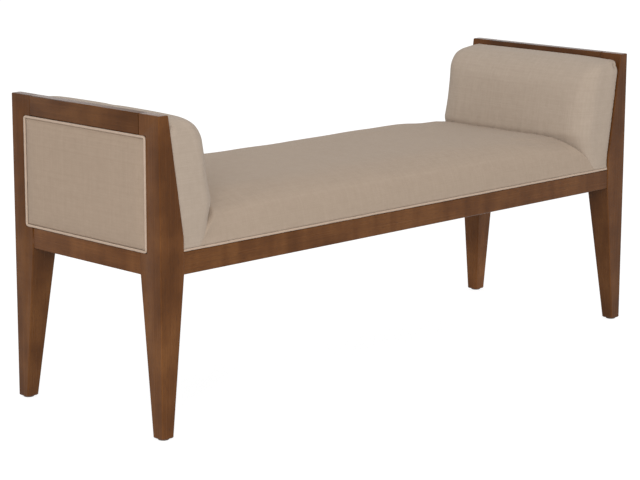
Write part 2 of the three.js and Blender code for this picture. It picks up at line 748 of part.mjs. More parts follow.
// One end of the bench. The second end is the first one turned half round, so what is at
// the front of the first is at the rear of the second.
function addEnd(side, first, second) {
  const end = new THREE.Group();
  bench.add(end);
  const corner = [
    ['post', post(), wood],
    ['glide', glide(), nylon],
    ['corner_block', cornerBlock(), plainWood],
    ['rail_screw', railScrew(screw()), zinc],
    ['end_screw', endScrew(screw()), zinc],
    ['seat_screw', seatScrew(screw()), zinc],
  ];
  for (const [piece, geometry, material] of corner) {
    geometry.translate(0, -DEPTH / 2, 0);
    addPart(end, `${first}_${side}_${piece}`, geometry, material);
    addPart(end, `${second}_${side}_${piece}`, mirrorY(geometry), material);
  }
  addPart(end, `${side}_end_rail`, endRail(), wood);
  addPart(end, `${side}_top_rail`, topRail(), wood);
  addPart(end, `${side}_arm_board`, armBoard(), plywood);
  addPart(end, `${side}_arm_foam`, armFoam(), foam);
  addPart(end, `${side}_arm_cover`, armCover(), linen);
  addPart(end, `${side}_panel_board`, panelBoard(), plywood);
  addPart(end, `${side}_panel_foam`, panelFoam(), foam);
  addPart(end, `${side}_panel_cover`, panelCover(), linen);
  addPart(end, `${side}_panel_welt`, panelWelt(), linen);
  return end;
}

addEnd('left', 'front', 'rear').position.x = -LENGTH / 2;
const rightEnd = addEnd('right', 'rear', 'front');
rightEnd.position.x = LENGTH / 2;
rightEnd.rotation.z = Math.PI;

const frontRail = seatRail();
addPart(bench, 'front_rail', frontRail, wood);
addPart(bench, 'rear_rail', mirrorY(frontRail), wood);
stretcherPlaces().forEach((x, index) => {
  addPart(bench, `cross_stretcher_${index + 1}`, stretcher(), plainWood).position.x = x;
});
addPart(bench, 'seat_deck', seatDeck(), plywood);
addPart(bench, 'seat_foam', seatFoam(), foam);
addPart(bench, 'seat_cover', seatCover(), linen);
const frontWelt = seatWelt();
addPart(bench, 'front_welt', frontWelt, linen);
addPart(bench, 'rear_welt', mirrorY(frontWelt), linen);
addPart(bench, 'dust_cover', dustCover(), cambric);

export default bench;
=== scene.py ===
import math
from collections import namedtuple

import bmesh
import bpy
import numpy as np
from mathutils import Matrix, Vector


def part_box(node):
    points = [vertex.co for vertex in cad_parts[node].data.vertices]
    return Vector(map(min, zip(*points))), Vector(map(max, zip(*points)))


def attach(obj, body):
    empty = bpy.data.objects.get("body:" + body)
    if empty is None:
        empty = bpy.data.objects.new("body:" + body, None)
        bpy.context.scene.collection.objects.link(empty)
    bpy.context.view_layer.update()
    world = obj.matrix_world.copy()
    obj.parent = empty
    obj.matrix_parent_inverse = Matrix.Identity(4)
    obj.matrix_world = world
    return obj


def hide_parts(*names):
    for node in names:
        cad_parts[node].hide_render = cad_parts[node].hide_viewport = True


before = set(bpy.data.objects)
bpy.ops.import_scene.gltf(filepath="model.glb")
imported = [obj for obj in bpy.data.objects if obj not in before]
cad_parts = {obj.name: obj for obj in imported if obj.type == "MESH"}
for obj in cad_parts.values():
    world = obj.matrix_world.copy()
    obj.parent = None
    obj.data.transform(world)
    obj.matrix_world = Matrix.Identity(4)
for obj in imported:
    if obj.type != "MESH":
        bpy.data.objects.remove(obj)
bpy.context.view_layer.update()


# Posts
# Four hardwood posts, planed square beside the rails, tapered to a small foot and cut to a
# wedge above the seat. The wood is stained brown and lacquered to a satin sheen.
def add_node(tree, kind, inputs=None, **settings):
    node = tree.nodes.new(kind)
    for key, value in settings.items():
        setattr(node, key, value)
    for key, value in (inputs or {}).items():
        if isinstance(value, bpy.types.NodeSocket):
            tree.links.new(value, node.inputs[key])
        else:
            node.inputs[key].default_value = value
    return node


def calculate(tree, operation, first, second=0.0, third=0.0):
    return add_node(
        tree, "ShaderNodeMath", {0: first, 1: second, 2: third}, operation=operation
    ).outputs[0]


def colour_ramp(tree, factor, stops):
    ramp = add_node(tree, "ShaderNodeValToRGB", {"Fac": factor})
    while len(ramp.color_ramp.elements) < len(stops):
        ramp.color_ramp.elements.new(0.5)
    for element, (position, colour) in zip(ramp.color_ramp.elements, stops):
        element.position = position
        element.color = (*colour, 1.0)
    return ramp.outputs["Color"]


def mix_colours(tree, factor, first, second, blend="MIX"):
    return add_node(
        tree, "ShaderNodeMix", {0: factor, 6: first, 7: second}, data_type="RGBA", blend_type=blend
    ).outputs[2]


def spread(tree, factor, low, high):
    return add_node(
        tree, "ShaderNodeMapRange", {"Value": factor, "To Min": low, "To Max": high}
    ).outputs[0]


def new_finish(name):
    finish = bpy.data.materials.new(name)
    finish.use_nodes = True
    return finish, finish.node_tree, finish.node_tree.nodes["Principled BSDF"]


def on_piece(tree):
    return add_node(tree, "ShaderNodeTexCoord").outputs["Object"]


def noise(tree, place, scale, detail, **more):
    """Noise of one scale, or drawn out by a scale for each axis."""
    if isinstance(scale, tuple):
        place = add_node(tree, "ShaderNodeMapping", {"Vector": place, "Scale": scale}).outputs[0]
        scale = 1.0
    return add_node(
        tree, "ShaderNodeTexNoise", {"Vector": place, "Scale": scale, "Detail": detail, **more}
    ).outputs[0]


Corner = namedtuple("Corner", "x y z")


def corners(node):
    """The lowest and the highest corner of a piece of the frame, to a thousandth of a millimetre."""
    return [Corner(*(round(value, 6) for value in corner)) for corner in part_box(node)]


POST_HEIGHT = corners("front_left_post")[1].z


def stained_wood(name, grain_turn, shift, curl, tone, top_tone=None):
    """Stained boards. curl is the share of cross bands in the figure, and tone how light the wood is
    painted, its stain and on one post painted light.
    On a post, tone holds at the floor and changes to top_tone at the top."""
    finish, tree, lacquer = new_finish(name)
    place = on_piece(tree)
    board = add_node(
        tree, "ShaderNodeMapping", {"Vector": place, "Rotation": grain_turn, "Location": shift}
    ).outputs[0]
    blotch = noise(tree, board, (15, 15, 7), 2.0)
    band = noise(tree, board, (5, 5, 27), 2.0)
    streak = noise(tree, board, (260, 260, 5), 4.0)
    pore = noise(tree, board, (1500, 1500, 70), 1.0)
    stain = calculate(tree, "MULTIPLY_ADD", band, curl, calculate(tree, "MULTIPLY", blotch, 1 - curl))
    browns = [
        (0.36, (0.100, 0.034, 0.0070)),
        (0.50, (0.136, 0.049, 0.0120)),
        (0.64, (0.178, 0.069, 0.0190)),
    ]
    brown = colour_ramp(tree, stain, [(at, [tone * part for part in colour]) for at, colour in browns])
    streaky = mix_colours(tree, 0.30, brown, colour_ramp(tree, streak, [
        (0.30, (0.66, 0.63, 0.60)),
        (0.52, (1.0, 1.0, 1.0)),
        (0.72, (1.16, 1.15, 1.14)),
    ]), "MULTIPLY")
    pores = colour_ramp(tree, pore, [(0.58, (0.0, 0.0, 0.0)), (0.70, (1.0, 1.0, 1.0))])
    pore_brown = (0.035, 0.012, 0.005, 1.0)
    filled = mix_colours(tree, calculate(tree, "MULTIPLY", pores, 0.45), streaky, pore_brown)
    if top_tone:
        above_floor = add_node(tree, "ShaderNodeSeparateXYZ", {0: place}).outputs[2]
        up_the_post = calculate(tree, "DIVIDE", above_floor, POST_HEIGHT)
        change = spread(tree, up_the_post, 1.0, top_tone / tone)
        filled = mix_colours(tree, 1.0, filled, change, "MULTIPLY")
    tree.links.new(filled, lacquer.inputs["Base Color"])
    tree.links.new(spread(tree, streak, 0.20, 0.32), lacquer.inputs["Roughness"])
    height = calculate(tree, "MULTIPLY_ADD", pores, -0.6, calculate(tree, "MULTIPLY", streak, 0.5))
    relief = add_node(tree, "ShaderNodeBump", {"Height": height, "Strength": 0.25, "Distance": 0.0003})
    tree.links.new(relief.outputs[0], lacquer.inputs["Normal"])
    lacquer.inputs["IOR"].default_value = 1.22
    return finish


def new_piece(name, mesh, finish):
    piece = bpy.data.objects.new(name, mesh)
    bpy.context.scene.collection.objects.link(piece)
    mesh.materials.clear()
    mesh.materials.append(finish)
    return piece


ARRIS, LONG_EDGE = 0.0006, 0.012
ALONG_GRAIN, SHARP, FLAT = 0.9, math.radians(30), math.radians(1)


def planed(node, finish, grain, outer=0.0, highlight_finish=None):
    """A copy of a piece of the frame, with its long edges along the grain eased by a plane, those further
    out than outer. Where a highlight finish is given, the eased edges carry it: a lighter stain that
    paints a highlight along the arris."""
    work = bmesh.new()
    work.from_mesh(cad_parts[node].data)
    bmesh.ops.remove_doubles(work, verts=work.verts, dist=1e-5)
    bmesh.ops.dissolve_limit(work, angle_limit=FLAT, verts=work.verts, edges=work.edges)
    work.verts.index_update()
    points = [vertex.co[:] for vertex in work.verts]
    faces = [[vertex.index for vertex in face.verts] for face in work.faces]
    work.free()
    mesh = bpy.data.meshes.new(node + "_planed")
    mesh.from_pydata(points, [], faces)
    mesh.shade_smooth()
    work = bmesh.new()
    work.from_mesh(mesh)
    weight = work.edges.layers.float.new("bevel_weight_edge")
    for edge in work.edges:
        first, second = (vertex.co for vertex in edge.verts)
        along = abs((second - first).normalized().dot(grain)) > ALONG_GRAIN
        turned = edge.is_manifold and edge.calc_face_angle() > SHARP
        long = edge.calc_length() > LONG_EDGE
        edge[weight] = float(turned and along and long and abs(first.y) > outer)
    work.to_mesh(mesh)
    work.free()
    piece = new_piece(node + "_planed", mesh, finish)
    arris = piece.modifiers.new("arris", "BEVEL")
    arris.limit_method = "WEIGHT"
    arris.width = ARRIS
    arris.segments = 2
    if highlight_finish:
        mesh.materials.append(highlight_finish)
        arris.material = 1
    faired = piece.modifiers.new("faired", "WEIGHTED_NORMAL")
    faired.keep_sharp = True
    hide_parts(node)
    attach(piece, "root")


UPRIGHT = (0.0, 0.0, 0.0)
# The last of these is how much lighter the eased arrises of the posts are painted: a painted highlight.
post_curl, post_outer, arris_highlight_lighter = 0.15, 0.2, 1.3
# The tone of each post at the floor and at the top. The rear right post is painted far lighter at the
# floor: painted light on its shaded foot.
post_tones = {
    "front_left": (0.98, 0.94),
    "rear_left": (0.88, 0.90),
    "front_right": (0.84, 0.86),
    "rear_right": (1.44, 0.78),
}
for index, (corner, (tone, top_tone)) in enumerate(post_tones.items()):
    shift = (0.31 * index, 0.17 * index, 0.43 * index)
    post_wood = stained_wood(corner + "_post_wood", UPRIGHT, shift, post_curl, tone, top_tone)
    # A lighter copy of each post's stain for its eased arrises: a painted highlight along the edges.
    arris_highlight_wood = stained_wood(
        corner + "_arris_highlight_wood", UPRIGHT, shift, post_curl, arris_highlight_lighter * tone, arris_highlight_lighter * top_tone
    )
    planed(corner + "_post", post_wood, Vector((0, 0, 1)), post_outer, arris_highlight_wood)


# Rails
# Long seat rails between the posts, an end rail at seat level and a top rail at each end, of
# the same stained wood. Tenons on their ends are glued into mortises in the posts.
ALONG_X = (0.0, -math.pi / 2, 0.0)
ALONG_Y = (math.pi / 2, 0.0, 0.0)
rails = {
    "front_rail": (ALONG_X, Vector((1, 0, 0)), 0.60, 0.89),
    "rear_rail": (ALONG_X, Vector((1, 0, 0)), 0.60, 0.89),
    "left_end_rail": (ALONG_Y, Vector((0, 1, 0)), 0.30, 1.05),
    "right_end_rail": (ALONG_Y, Vector((0, 1, 0)), 0.30, 1.05),
    "left_top_rail": (ALONG_Y, Vector((0, 1, 0)), 0.20, 0.76),
    "right_top_rail": (ALONG_Y, Vector((0, 1, 0)), 0.20, 0.70),
}
for index, (rail, (grain_turn, grain, curl, tone)) in enumerate(rails.items()):
    shift = (0.23 * index + 1.3, 0.37 * index, 0.29 * index)
    planed(rail, stained_wood(rail + "_wood", grain_turn, shift, curl, tone), grain)


# Inner frame
# Two cross stretchers tie the seat rails together, and a block is screwed into each corner.
# They are plain softwood, left unstained because the dust cover hides them.
def coat(tree, surface, pattern, stops, smooth, rough):
    """Colour and sheen that both follow one pattern."""
    tree.links.new(colour_ramp(tree, pattern, stops), surface.inputs["Base Color"])
    tree.links.new(spread(tree, pattern, smooth, rough), surface.inputs["Roughness"])


def plain_wood():
    finish, tree, surface = new_finish("plain_softwood")
    rings = noise(tree, on_piece(tree), (40, 9, 160), 4.0)
    coat(tree, surface, rings, [(0.35, (0.33, 0.18, 0.075)), (0.65, (0.50, 0.31, 0.145))], 0.62, 0.78)
    return finish


def refinish(node, finish):
    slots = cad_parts[node].data.materials
    slots.clear()
    slots.append(finish)


softwood = plain_wood()
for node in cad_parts:
    if node.endswith("_corner_block") or node.startswith("cross_stretcher"):
        refinish(node, softwood)


# Screws
# Zinc-plated pan-head screws: two hold each corner block to its rails, and a third comes up
# through the block and draws the seat deck down.
def zinc_plate():
    finish, tree, surface = new_finish("zinc_plate")
    bloom = noise(tree, on_piece(tree), 420.0, 3.0)
    coat(tree, surface, bloom, [(0.35, (0.40, 0.385, 0.33)), (0.65, (0.56, 0.55, 0.49))], 0.28, 0.46)
    surface.inputs["Metallic"].default_value = 1.0
    return finish


zinc = zinc_plate()
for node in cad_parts:
    if node.endswith("_screw"):
        refinish(node, zinc)


# Seat deck
# A plywood board that carries the seat foam and closes the frame between the posts. The seat
# cover is drawn round its edges, so they show the colour of the cloth.
def plywood():
    finish, tree, surface = new_finish("deck_plywood")
    plies = noise(tree, on_piece(tree), (5, 70, 700), 4.0)
    wood = colour_ramp(tree, plies, [(0.35, (0.40, 0.25, 0.115)), (0.65, (0.60, 0.42, 0.21))])
    edge_cloth = (0.30, 0.23, 0.175, 1.0)
    facing = add_node(tree, "ShaderNodeNewGeometry").outputs["Normal"]
    upward = add_node(tree, "ShaderNodeSeparateXYZ", {0: facing}).outputs[2]
    flat = calculate(tree, "GREATER_THAN", calculate(tree, "ABSOLUTE", upward), 0.5)
    tree.links.new(mix_colours(tree, flat, edge_cloth, wood), surface.inputs["Base Color"])
    tree.links.new(spread(tree, plies, 0.66, 0.82), surface.inputs["Roughness"])
    return finish


refinish("seat_deck", plywood())


# Seat cushion
# A foam block on the deck under a linen cover, which is pulled down tight and stapled below.
# Its front edge is soft and its rear edge tighter, and both ends run on under the arm pads.
def linen(name, turn=0.0, tint_and_painted_light=(1.0, 1.0, 1.0)):
    """Plain weave, thread by thread. Each yarn has its own tone, and slubs where it was spun thicker."""
    finish, tree, cloth = new_finish(name)
    flat = add_node(tree, "ShaderNodeUVMap", uv_map="cloth").outputs[0]
    threads_a_metre = 1150.0
    yarns = add_node(
        tree, "ShaderNodeMapping",
        {"Vector": flat, "Rotation": (0.0, 0.0, turn), "Scale": (threads_a_metre, threads_a_metre, 1.0)},
    ).outputs[0]
    axes = add_node(tree, "ShaderNodeSeparateXYZ", {0: yarns})
    across = [axes.outputs[0], axes.outputs[1]]
    number = [calculate(tree, "FLOOR", value) for value in across]
    crown = [
        calculate(tree, "SINE", calculate(tree, "MULTIPLY", calculate(tree, "FRACT", value), math.pi))
        for value in across
    ]
    pair = calculate(tree, "MULTIPLY", calculate(tree, "ADD", number[0], number[1]), 0.5)
    over = calculate(tree, "GREATER_THAN", calculate(tree, "FRACT", pair), 0.25)
    under = calculate(tree, "SUBTRACT", 1.0, over)

    def on_top(warp, weft):
        return calculate(tree, "MULTIPLY_ADD", warp, over, calculate(tree, "MULTIPLY", weft, under))

    raised = [
        calculate(tree, "MULTIPLY", mine, calculate(tree, "MULTIPLY_ADD", other, 0.5, 0.5))
        for mine, other in (crown, crown[::-1])
    ]
    tone = [
        add_node(tree, "ShaderNodeTexWhiteNoise", {"W": value}, noise_dimensions="1D").outputs[0]
        for value in number
    ]
    slub = [noise(tree, yarns, scale, 3.0) for scale in ((0.022, 0.55, 1.0), (0.55, 0.022, 1.0))]
    mottle = noise(tree, on_piece(tree), 70.0, 4.0)
    thread, slubs = on_top(*raised), on_top(*slub)
    shade = 0.0
    for part, weight in ((on_top(*tone), 0.07), (slubs, 0.09), (mottle, 0.08), (thread, 0.10)):
        shade = calculate(tree, "MULTIPLY_ADD", part, weight, shade)
    beiges = [
        (0.00, (0.306, 0.231, 0.170)),
        (0.17, (0.412, 0.319, 0.241)),
        (0.37, (0.526, 0.417, 0.325)),
    ]
    # The beige is scaled for each piece: the arms are painted lighter and bluer, painted light, and the
    # seat and end panels a little darker, painted shade.
    beige = colour_ramp(tree, shade, [(at, np.multiply(tint_and_painted_light, colour)) for at, colour in beiges])
    tree.links.new(beige, cloth.inputs["Base Color"])
    height = calculate(tree, "MULTIPLY_ADD", slubs, 0.8, thread)
    relief = add_node(tree, "ShaderNodeBump", {"Height": height, "Strength": 0.35, "Distance": 0.0004})
    tree.links.new(relief.outputs[0], cloth.inputs["Normal"])
    tree.links.new(spread(tree, thread, 0.95, 0.82), cloth.inputs["Roughness"])
    cloth.inputs["Specular IOR Level"].default_value = 0.2
    cloth.inputs["Sheen Weight"].default_value = 0.08
    cloth.inputs["Sheen Roughness"].default_value = 0.45
    return finish


def grid_faces(rows, columns):
    corner = np.arange(rows * columns).reshape(rows, columns)
    return np.stack(
        [corner[:-1, :-1], corner[:-1, 1:], corner[1:, 1:], corner[1:, :-1]], axis=-1
    ).reshape(-1, 4)


def grid_normals(points):
    along = np.gradient(points, axis=1)
    up = np.gradient(points, axis=0)
    normals = np.cross(along, up)
    return normals / np.maximum(np.linalg.norm(normals, axis=2, keepdims=True), 1e-12)


def from_border(points, reach):
    """0 along the border of a sheet of points, rising smoothly to 1 at reach from it."""
    rows, columns = points.shape[:2]
    steps = [np.linalg.norm(np.diff(points, axis=axis), axis=2) for axis in (0, 1)]
    down = np.vstack([np.zeros((1, columns)), np.cumsum(steps[0], axis=0)])
    over = np.hstack([np.zeros((rows, 1)), np.cumsum(steps[1], axis=1)])
    nearest = np.minimum.reduce([down, down[-1:] - down, over, over[:, -1:] - over])
    share = np.clip(nearest / reach, 0, 1)
    return share * share * (3 - 2 * share)


def swell(points, depth, pressure, reach=0.05):
    """The cover starts a little slack inside its form and is blown out against its own tension, with its
    border held where it is sewn or stapled. What it gains is capped near depth and smoothed."""
    frames, overblow, smoothing = 20, 1.25, 12
    rows, columns = points.shape[:2]
    start = points - grid_normals(points) * (depth * from_border(points, reach))[..., None]
    mesh = bpy.data.meshes.new("slack_cover")
    mesh.from_pydata(start.reshape(-1, 3).tolist(), [], grid_faces(rows, columns).tolist())
    cover = bpy.data.objects.new("slack_cover", mesh)
    bpy.context.scene.collection.objects.link(cover)
    held = np.zeros((rows, columns), bool)
    held[[0, -1], :] = True
    held[:, [0, -1]] = True
    group = cover.vertex_groups.new(name="held")
    group.add(np.flatnonzero(held).tolist(), 1.0, "REPLACE")
    cloth = cover.modifiers.new("cloth", "CLOTH")
    cloth.settings.quality = 6
    cloth.settings.tension_stiffness = 30
    cloth.settings.compression_stiffness = 30
    cloth.settings.shear_stiffness = 20
    cloth.settings.bending_stiffness = 4
    cloth.settings.vertex_group_mass = "held"
    cloth.settings.use_pressure = True
    cloth.settings.uniform_pressure_force = pressure
    cloth.settings.effector_weights.gravity = 0
    cloth.collision_settings.use_collision = False
    for number in range(1, frames + 1):
        bpy.context.scene.frame_set(number)
    blown = cover.evaluated_get(bpy.context.evaluated_depsgraph_get()).data
    flat = np.empty(rows * columns * 3, np.float32)
    blown.vertices.foreach_get("co", flat)
    bpy.context.scene.frame_set(1)
    bpy.data.objects.remove(cover)
    move = flat.astype(float).reshape(points.shape) - start
    size = np.maximum(np.linalg.norm(move, axis=2, keepdims=True), 1e-9)
    blow = move / size * depth * np.tanh(size / depth) * overblow
    for _ in range(smoothing):
        beside = blow[:-2, 1:-1] + blow[2:, 1:-1] + blow[1:-1, :-2] + blow[1:-1, 2:]
        blow[1:-1, 1:-1] = blow[1:-1, 1:-1] / 2 + beside / 8
    return start + blow


def finer(points):
    """The same smooth sheet with a point between every two, in both directions."""
    for axis in (0, 1):
        line = np.moveaxis(points, axis, 0)
        longer = np.concatenate([2 * line[:1] - line[1:2], line, 2 * line[-1:] - line[-2:-1]])
        twice = np.empty((2 * len(line) - 1, *line.shape[1:]))
        twice[::2] = line
        twice[1::2] = (9 * (line[:-1] + line[1:]) - longer[:-3] - longer[3:]) / 16
        points = np.moveaxis(twice, 0, axis)
    return points


def cloth_mesh(name, points, lengths, finish, closing):
    """A quad skin over a grid of points with its flat lengths as UV, closed by the given polygons."""
    rows, columns = points.shape[:2]
    faces = grid_faces(rows, columns).tolist() + closing
    mesh = bpy.data.meshes.new(name)
    mesh.from_pydata(points.reshape(-1, 3).tolist(), [], faces)
    layer = mesh.uv_layers.new(name="cloth")
    flat = lengths.reshape(-1, 2)
    corners = np.empty(len(mesh.loops), np.int32)
    mesh.loops.foreach_get("vertex_index", corners)
    layer.data.foreach_set("uv", flat[corners].astype(np.float32).ravel())
    work = bmesh.new()
    work.from_mesh(mesh)
    bmesh.ops.remove_doubles(work, verts=work.verts, dist=1e-6)
    bmesh.ops.dissolve_degenerate(work, edges=work.edges, dist=1e-6)
    many_sided = [face for face in work.faces if len(face.verts) > 4]
    bmesh.ops.triangulate(work, faces=many_sided, ngon_method="EAR_CLIP")
    bmesh.ops.recalc_face_normals(work, faces=work.faces)
    work.to_mesh(mesh)
    work.free()
    mesh.shade_smooth()
    return new_piece(name, mesh, finish)


def arc_lengths(line):
    return np.concatenate([[0.0], np.cumsum(np.linalg.norm(np.diff(line, axis=0), axis=1))])


# The ends of the seat follow the inner faces of the arms, so the form of the arms is given here
POST_GAP, PAD_GAP = 0.0003, 0.0006
post_inside, HALF_LENGTH = (corner.x for corner in corners("front_right_post"))
post_width, wedge_top, wedge_from = HALF_LENGTH - post_inside, 0.025, 0.411
arm_half = corners("right_arm_cover")[1].y
arm_depth, arm_corner, arm_belly = 0.110, 0.034, 0.006
drawn_from, drawn_in = 0.473, 0.036
seat_low, seat_half = corners("seat_cover")[0].z, corners("seat_cover")[1].y
seat_top, seat_reach = 0.4820, 0.6480


def post_slope(z):
    """How far a post's inner face stands from the end of the bench."""
    tapered = np.maximum(0, z - wedge_from) / (POST_HEIGHT - wedge_from)
    return post_width - (post_width - wedge_top) * tapered


def drawn_back(z):
    """How far an arm is drawn in below the line of the seat."""
    return drawn_in * np.maximum(0, drawn_from - z) / (drawn_from - seat_low)


def arm_face(z, y):
    """How far an arm's inner face stands from the end of the bench. The seat runs up to it."""
    corner = np.clip((np.abs(y) - arm_half + arm_corner) / arm_corner, 0, 1)
    rounded = arm_corner * (1 - np.sqrt(1 - corner ** 2))
    return post_slope(z) + arm_depth - drawn_back(z) - rounded + arm_belly * (1 - (y / arm_half) ** 2)


front_power, rear_power, crown_power = 4.5, 20.0, 4.0
side_share, side_points, top_points = 0.9, 120, 160
end_dip, end_power, end_guess, end_rounds = 0.0207, 4.5, 0.585, 4


def seat_profile(power):
    """Half of the seat's section as shares of its width and height, up the side and over to the middle."""
    up = np.linspace(0, side_share, side_points)
    side = (1 - up ** crown_power) ** (1 / power)
    top = np.linspace(side[-1], 0, top_points)[1:]
    return np.concatenate([side, top]), np.concatenate([up, (1 - top ** power) ** (1 / crown_power)])


front_across, front_up = seat_profile(front_power)
rear_across, rear_up = seat_profile(rear_power)
section = np.column_stack([
    np.concatenate([-front_across, rear_across[-2::-1]]) * seat_half,
    np.concatenate([front_up, rear_up[-2::-1]]) * (seat_top - seat_low),
])
section_length = arc_lengths(section)
seat_rows, seat_columns, seat_run = 84, 72, 0.600
row_length = np.linspace(0, section_length[-1], seat_rows)
row_y = np.interp(row_length, section_length, section[:, 0])
row_up = np.interp(row_length, section_length, section[:, 1]) / (seat_top - seat_low)
near_end = np.array([0.0, 0.002, 0.0045, 0.008, 0.0125, 0.018, 0.025, 0.033])
toward_middle = np.linspace(near_end[-1], seat_run, seat_columns)[1:]
share = 1 - np.concatenate([near_end, toward_middle]) / seat_run
column_share = np.concatenate([-share, share[-2::-1]])


def fallen(x):
    """How far the crown has fallen on its way to the arms."""
    return end_dip * (np.abs(x) / seat_reach) ** end_power


def up_to_arm(z, y):
    return np.minimum(seat_reach, HALF_LENGTH - arm_face(z, y) - PAD_GAP)


def seat_end(y, up):
    """Where each row meets the arm. The crown falls on the way, so the place is found in a few rounds."""
    end = np.full_like(y, end_guess)
    for _ in range(end_rounds):
        end = up_to_arm(seat_low + (seat_top - seat_low - fallen(end)) * up, y)
    return end


row_end = seat_end(row_y, row_up)
x = column_share[None, :] * row_end[:, None]
y = np.repeat(row_y[:, None], len(column_share), axis=1)
z = seat_low + (seat_top - seat_low - fallen(x)) * row_up[:, None]
seat = np.stack([x, y, z], axis=-1)

seam_depth, seam_width, seam_foot = 0.0065, 0.011, 0.012
corner_y, corner_width, corner_extra = -0.17, 0.06, 0.8
to_end = row_end[:, None] - np.abs(x)
deeper = 1 + corner_extra * np.exp(-((y - corner_y) / corner_width) ** 2)
seam = seam_depth * deeper * np.maximum(0, 1 - to_end / seam_width) ** 2
seam *= np.clip((z - seat_low) / seam_foot, 0, 1)
seat[..., 1:] -= grid_normals(seat)[..., 1:] * seam[..., None]
lip_out, lip_height = 0.0012, 0.007


def lip(z, low):
    """The cover swells out a little at its foot, where the piping lies under it."""
    return lip_out * np.maximum(0, 1 - (z - low) / lip_height) ** 2


seat[..., 1] += np.sign(y) * lip(z, seat_low)
seat_slack, seat_pressure = 0.003, 1.8
seat = finer(swell(seat, seat_slack, seat_pressure))

column_share = finer(column_share[None, :, None].repeat(2, axis=0))[0, :, 0]
x, y, to_end = seat[..., 0], seat[..., 1], finer(to_end[..., None])[..., 0]
drift_height, pulled_height, pulled_reach, held_edge = 0.00045, 0.0008, 0.035, 0.03
drift = (
    np.sin(x * 21 + 0.7) * np.sin(y * 15 + 0.4)
    + 0.7 * np.sin(x * 37 + y * 19 + 2.1)
    + 0.5 * np.sin(x * 13 - y * 41 + 0.9)
)
pulled = np.exp(-to_end / pulled_reach) * (np.sin(y * 118 + 0.6) + 0.6 * np.sin(y * 203 + 1.7))
uneven = (drift_height * drift + pulled_height * pulled) * from_border(seat, held_edge)
seat += grid_normals(seat) * uneven[..., None]

deck_high = corners("seat_deck")[1]
deck_side, deck_top, deck_inner = deck_high.y + PAD_GAP, deck_high.z + PAD_GAP, 0.215
under_y = np.concatenate([
    [deck_side, deck_side], np.linspace(deck_inner, -deck_inner, 13), [-deck_side, -deck_side]
])
under_z = np.concatenate([[seat_low], np.full(len(under_y) - 2, deck_top), [seat_low]])
under = np.stack([
    column_share[None, :] * up_to_arm(under_z, under_y)[:, None],
    np.repeat(under_y[:, None], len(column_share), axis=1),
    np.repeat(under_z[:, None], len(column_share), axis=1),
], axis=-1)
seat_all = np.concatenate([seat, under, seat[:1]])
around = arc_lengths(seat_all[:, len(column_share) // 2])
seat_flat = np.stack([seat_all[..., 0], np.repeat(around[:, None], len(column_share), axis=1)], axis=-1)
first_column = [row * len(column_share) for row in range(len(seat_all) - 1)]
last_column = [index + len(column_share) - 1 for index in first_column]
# The seat linen is painted a little darker overall: painted shade, for the shade the arms cast over its
# ends.
seat_linen = linen("seat_linen", tint_and_painted_light=(0.97, 0.97, 0.975))
seat_cushion = cloth_mesh("seat_cushion", seat_all, seat_flat, seat_linen, [first_column, last_column])
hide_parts("seat_cover", "seat_foam")
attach(seat_cushion, "root")


# Arm pads
# Foam on a plywood board, covered in the same linen and screwed to the sloping inner faces of
# the posts. The cover rolls over the top and is tucked down behind the ends of the seat.
arm_low, arm_top = (corner.z for corner in corners("right_arm_cover"))
nose, brow, narrower, tighter = 0.055, 0.020, 0.010, 0.3
side_steps, face_steps, wall_rows, nose_rows, top_rows = 12, 60, 38, 19, 10
closed_to, deck_reach = 0.95, 0.2300


def rolled_in(radius, below):
    up = np.maximum(0, radius - below)
    return radius - math.sqrt(radius ** 2 - up ** 2)


def arm_ring(z, narrowed):
    """The outline of an arm at a height, open at the posts: along the front, round the corner, along the
    inner face and back. On the top narrowed goes from 0 towards 1, and the outline closes on the posts."""
    below = max(0.0, arm_top - z)
    slope = float(post_slope(z))
    wall = slope + POST_GAP
    full = slope + arm_depth - drawn_back(z) - rolled_in(nose, below)
    face = wall + (full - wall) * (1 - narrowed)
    half = arm_half - rolled_in(brow, below) - narrower * narrowed
    radius = min(arm_corner, face - wall) * (1 - tighter * narrowed)
    angle = np.linspace(-math.pi / 2, 0, side_steps + 1)
    start = np.column_stack([
        np.linspace(wall, face - radius, side_steps + 1)[:-1], np.full(side_steps, -half)
    ])
    bend = np.column_stack([
        face - radius + radius * np.cos(angle), radius - half + radius * np.sin(angle)
    ])
    middle = np.column_stack([
        np.full(face_steps + 1, face), np.linspace(radius - half, half - radius, face_steps + 1)
    ])[1:-1]
    ring = np.vstack([start, bend, middle, bend[::-1] * (1, -1), start[::-1] * (1, -1)])
    ring[:, 0] += arm_belly * (1 - (ring[:, 1] / half) ** 2) * (1 - narrowed)
    return np.column_stack([ring, np.full(len(ring), z)])


rise = np.concatenate([
    np.linspace(arm_low, arm_top - nose, wall_rows + 1)[:-1],
    arm_top - nose + nose * np.sin(np.linspace(0, math.pi / 2, nose_rows)),
])
closing = np.linspace(0, closed_to, top_rows)[1:]
arm_form = np.array([arm_ring(z, 0.0) for z in rise] + [arm_ring(arm_top, share) for share in closing])
over_deck = np.abs(arm_form[0, :, 1]) < deck_reach
arm_form[:, over_deck, 2] = np.maximum(arm_form[:, over_deck, 2], deck_top)

arm_slack, arm_pressure, arm_held = 0.003, 2.4, 0.02
stuffed_from = 0.52
roll_from, roll_height, roll_depth, roll_back = 0.56, 0.09, 0.08, 0.010
seat_line, pucker_reach, pucker_height, arm_drift = 0.462, 0.028, 0.0005, 0.0004
tuck_in, tuck_z, tuck_radius, tuck_depth, tuck_side = 0.006, 0.634, 0.0075, 0.009, 0.2
lip_side, level_row = 0.23, 56


